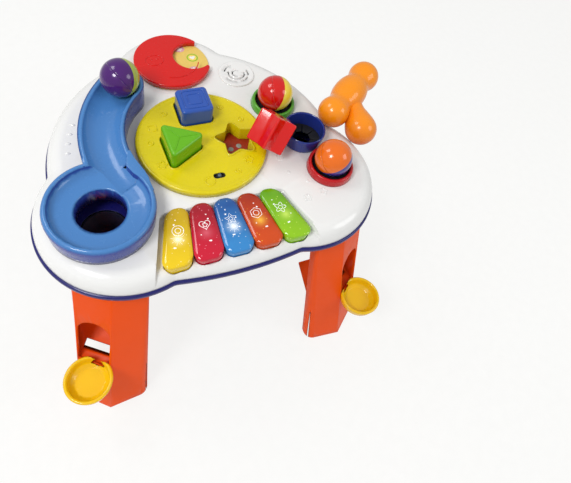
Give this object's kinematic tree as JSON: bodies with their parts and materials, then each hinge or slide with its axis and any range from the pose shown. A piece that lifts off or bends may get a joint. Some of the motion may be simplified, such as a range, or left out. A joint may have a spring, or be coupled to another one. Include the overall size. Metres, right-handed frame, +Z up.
{
  "type": "musical activity table",
  "caption": "Low three-legged play table with ball slide and bowl, ball rings, shape sorter, spinner, piano keys, blocks, balls and hammer.",
  "frame": {"origin": "centre of the bounding box in plan, on the floor that the feet stand on", "axes": "+Z up, -Y towards the player at the keys, +X to the player's right"},
  "size_m": [0.5214, 0.533, 0.3552],
  "materials": {
    "white_shell": "glossy",
    "navy_base": "glossy",
    "slide_blue": "glossy",
    "disc_yellow": "glossy",
    "plate_red": "satin",
    "block_blue": "glossy",
    "block_green": "glossy",
    "block_red": "glossy",
    "picture_cream": "printed, satin",
    "spinner_red": "glossy",
    "steel": "bright",
    "ring_green": "glossy",
    "ring_navy": "glossy",
    "ring_crimson": "glossy",
    "soft_black": "matt",
    "ball_purple": "glossy",
    "ball_lime": "glossy",
    "ball_red": "glossy",
    "ball_yellow": "glossy",
    "ball_orange": "glossy",
    "ball_navy": "glossy",
    "hammer_orange": "glossy",
    "key_yellow": "translucent gloss",
    "key_red": "translucent gloss",
    "key_blue": "translucent gloss",
    "key_orange": "translucent gloss",
    "key_green": "translucent gloss",
    "inner_white": "matt",
    "leg_orange": "satin gloss",
    "cup_yellow": "glossy",
    "speaker_black": "matt",
    "board_green": "matt",
    "cell_silver": "satin",
    "lamp_clear": "clear",
    "switch_black": "satin",
    "knob_grey": "glossy"
  },
  "bodies": {
    "table": {"top_shell": "white_shell", "base_shell": "navy_base", "ball_slide": "slide_blue", "sorter_disc": "disc_yellow", "picture_disc": "picture_cream", "spinner_pivot": "steel", "ring_green": "ring_green", "ball_gripper_green": "soft_black", "ring_blue": "ring_navy", "ball_gripper_blue": "soft_black", "ring_red": "ring_crimson", "ball_gripper_red": "soft_black", "key_hinge_pins": "steel", "key_rail": "inner_white", "leg_right": "leg_orange", "leg_left": "leg_orange", "leg_back": "leg_orange", "ball_gutter_right": "navy_base", "ball_gutter_left": "navy_base", "catch_cup_right": "cup_yellow", "catch_cup_left": "cup_yellow", "speaker_driver": "speaker_black", "main_board": "board_green", "pocket_domes": "soft_black", "battery_box": "inner_white", "batteries": "cell_silver", "battery_contacts": "steel", "battery_door": "navy_base", "door_screw": "steel", "shell_screws": "steel", "key_domes": "soft_black", "key_lamps": "lamp_clear", "mode_switch_body": "switch_black"},
    "plate_square": {"pocket_plate_square": "plate_red"},
    "plate_triangle": {"pocket_plate_triangle": "plate_red"},
    "plate_star": {"pocket_plate_star": "plate_red"},
    "square_block": {"block_square": "block_blue"},
    "triangle_block": {"block_triangle": "block_green"},
    "star_block": {"block_star": "block_red"},
    "spinner": {"picture_spinner": "spinner_red"},
    "purple_ball": {"ball_purple_half": "ball_purple", "ball_lime_half": "ball_lime"},
    "red_ball": {"ball_red_half": "ball_red", "ball_yellow_half": "ball_yellow"},
    "orange_ball": {"ball_orange_half": "ball_orange", "ball_navy_half": "ball_navy"},
    "hammer": {"hammer_head": "hammer_orange", "hammer_handle": "hammer_orange"},
    "mode_knob": {"mode_switch_knob": "knob_grey"},
    "yellow_key": {"key_yellow": "key_yellow"},
    "red_key": {"key_red": "key_red"},
    "blue_key": {"key_blue": "key_blue"},
    "orange_key": {"key_orange": "key_orange"},
    "green_key": {"key_green": "key_green"}
  },
  "joints": [
    {"name": "square_plate_press", "type": "slide", "parent": "table", "child": "plate_square", "axis": [0, 0, -1], "range_m": [0, 0.003], "stiffness_N_per_m": 600, "springref_m": -0.003},
    {"name": "triangle_plate_press", "type": "slide", "parent": "table", "child": "plate_triangle", "axis": [0, 0, -1], "range_m": [0, 0.003], "stiffness_N_per_m": 600, "springref_m": -0.003},
    {"name": "star_plate_press", "type": "slide", "parent": "table", "child": "plate_star", "axis": [0, 0, -1], "range_m": [0, 0.003], "stiffness_N_per_m": 600, "springref_m": -0.003},
    {"name": "square_block_lift", "type": "slide", "parent": "table", "child": "square_block", "axis": [0, 0, 1], "range_m": [0, 0.06]},
    {"name": "triangle_block_lift", "type": "slide", "parent": "table", "child": "triangle_block", "axis": [0, 0, 1], "range_m": [0, 0.06]},
    {"name": "star_block_lift", "type": "slide", "parent": "table", "child": "star_block", "axis": [0, 0, 1], "range_m": [0, 0.06]},
    {"name": "purple_ball_lift", "type": "slide", "parent": "table", "child": "purple_ball", "axis": [0, 0, 1], "range_m": [0, 0.06]},
    {"name": "red_ball_lift", "type": "slide", "parent": "table", "child": "red_ball", "axis": [0, 0, 1], "range_m": [0, 0.06]},
    {"name": "orange_ball_lift", "type": "slide", "parent": "table", "child": "orange_ball", "axis": [0, 0, 1], "range_m": [0, 0.06]},
    {"name": "hammer_lift", "type": "slide", "parent": "table", "child": "hammer", "axis": [0, 0, 1], "range_m": [0, 0.06]},
    {"name": "spinner_turn", "type": "hinge", "parent": "table", "child": "spinner", "pos_m": [-0.02675, 0.12854, 0.2852], "axis": [0, 0, 1], "continuous": true},
    {"name": "yellow_key_press", "type": "hinge", "parent": "table", "child": "yellow_key", "pos_m": [-0.08784, -0.13346, 0.267], "axis": [0.9676, -0.2524, 0], "range_deg": [0, 4], "stiffness_Nm_per_rad": 0.5, "springref_deg": -4.01},
    {"name": "red_key_press", "type": "hinge", "parent": "table", "child": "red_key", "pos_m": [-0.05729, -0.13346, 0.267], "axis": [0.9916, -0.1293, 0], "range_deg": [0, 4], "stiffness_Nm_per_rad": 0.5, "springref_deg": -4.01},
    {"name": "blue_key_press", "type": "hinge", "parent": "table", "child": "blue_key", "pos_m": [-0.02675, -0.13346, 0.267], "axis": [1, 0, 0], "range_deg": [0, 4], "stiffness_Nm_per_rad": 0.5, "springref_deg": -4.01},
    {"name": "orange_key_press", "type": "hinge", "parent": "table", "child": "orange_key", "pos_m": [0.00379, -0.13346, 0.267], "axis": [0.9916, 0.1293, 0], "range_deg": [0, 4], "stiffness_Nm_per_rad": 0.5, "springref_deg": -4.01},
    {"name": "green_key_press", "type": "hinge", "parent": "table", "child": "green_key", "pos_m": [0.03434, -0.13346, 0.267], "axis": [0.9676, 0.2524, 0], "range_deg": [0, 4], "stiffness_Nm_per_rad": 0.5, "springref_deg": -4.01},
    {"name": "mode_switch_slide", "type": "slide", "parent": "table", "child": "mode_knob", "axis": [1, 0, 0], "range_m": [-0.003, 0.003]}
  ]
}
